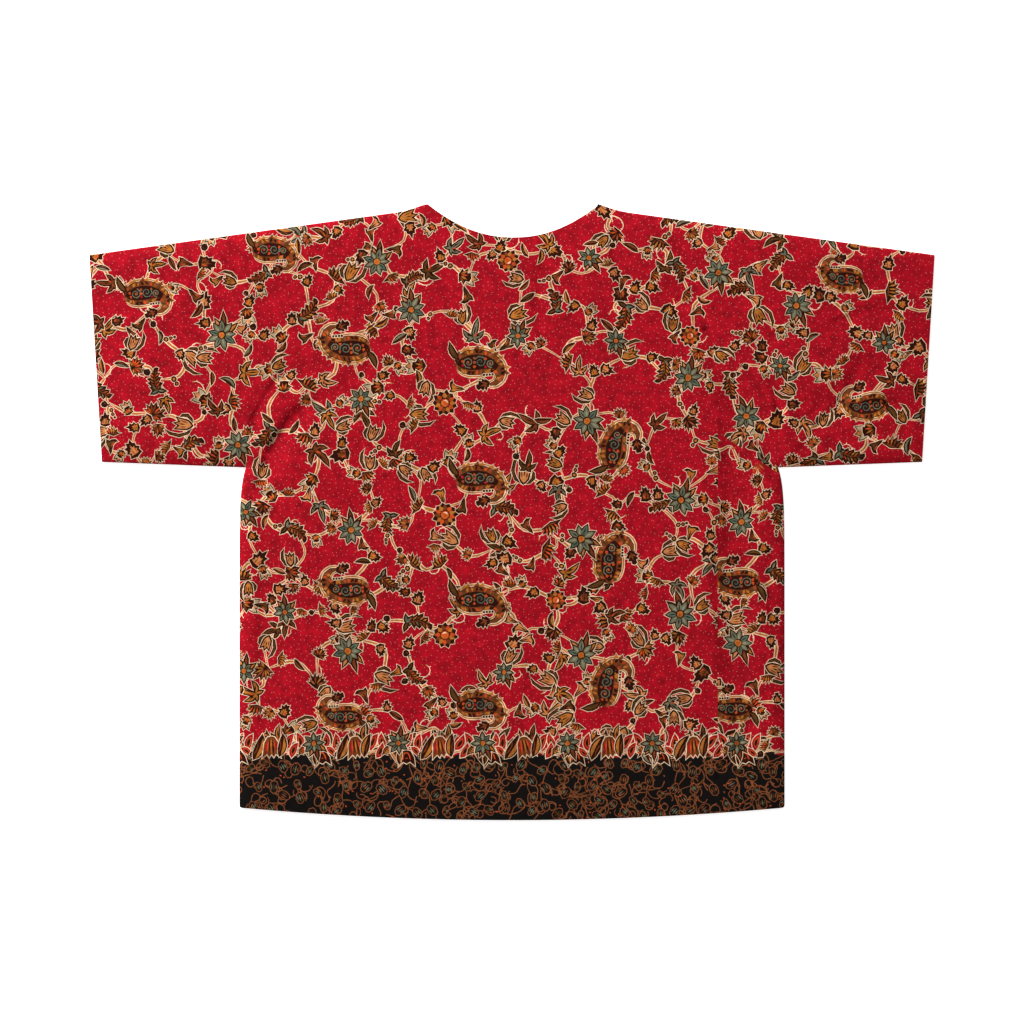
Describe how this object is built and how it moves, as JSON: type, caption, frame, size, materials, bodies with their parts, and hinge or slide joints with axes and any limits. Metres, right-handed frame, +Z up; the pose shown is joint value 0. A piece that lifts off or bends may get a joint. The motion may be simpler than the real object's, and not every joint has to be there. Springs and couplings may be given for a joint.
{
  "type": "batik crop shirt",
  "caption": "Boxy short-sleeved cropped shirt in printed batik cotton, laid flat face down with its back up; shallow scooped neck, straight drop-shoulder sleeves, curved hem.",
  "frame": {"origin": "bottom centre of the bounding box, on the surface that the shirt lies on", "axes": "+X along the sleeves to the sleeve that shows on the right, +Y from the hem to the neck, +Z up out of the back panel"},
  "size_m": [0.8448, 0.616, 0.0066],
  "materials": {
    "batik_cotton": "matt plain-weave cotton, wax-resist dyed crimson with cream, ochre, teal and brown flowers, leaves and paisleys over a near-black border"
  },
  "bodies": {
    "root": {"back": "batik_cotton", "front": "batik_cotton", "sleeve_left": "batik_cotton", "sleeve_right": "batik_cotton"}
  },
  "joints": []
}
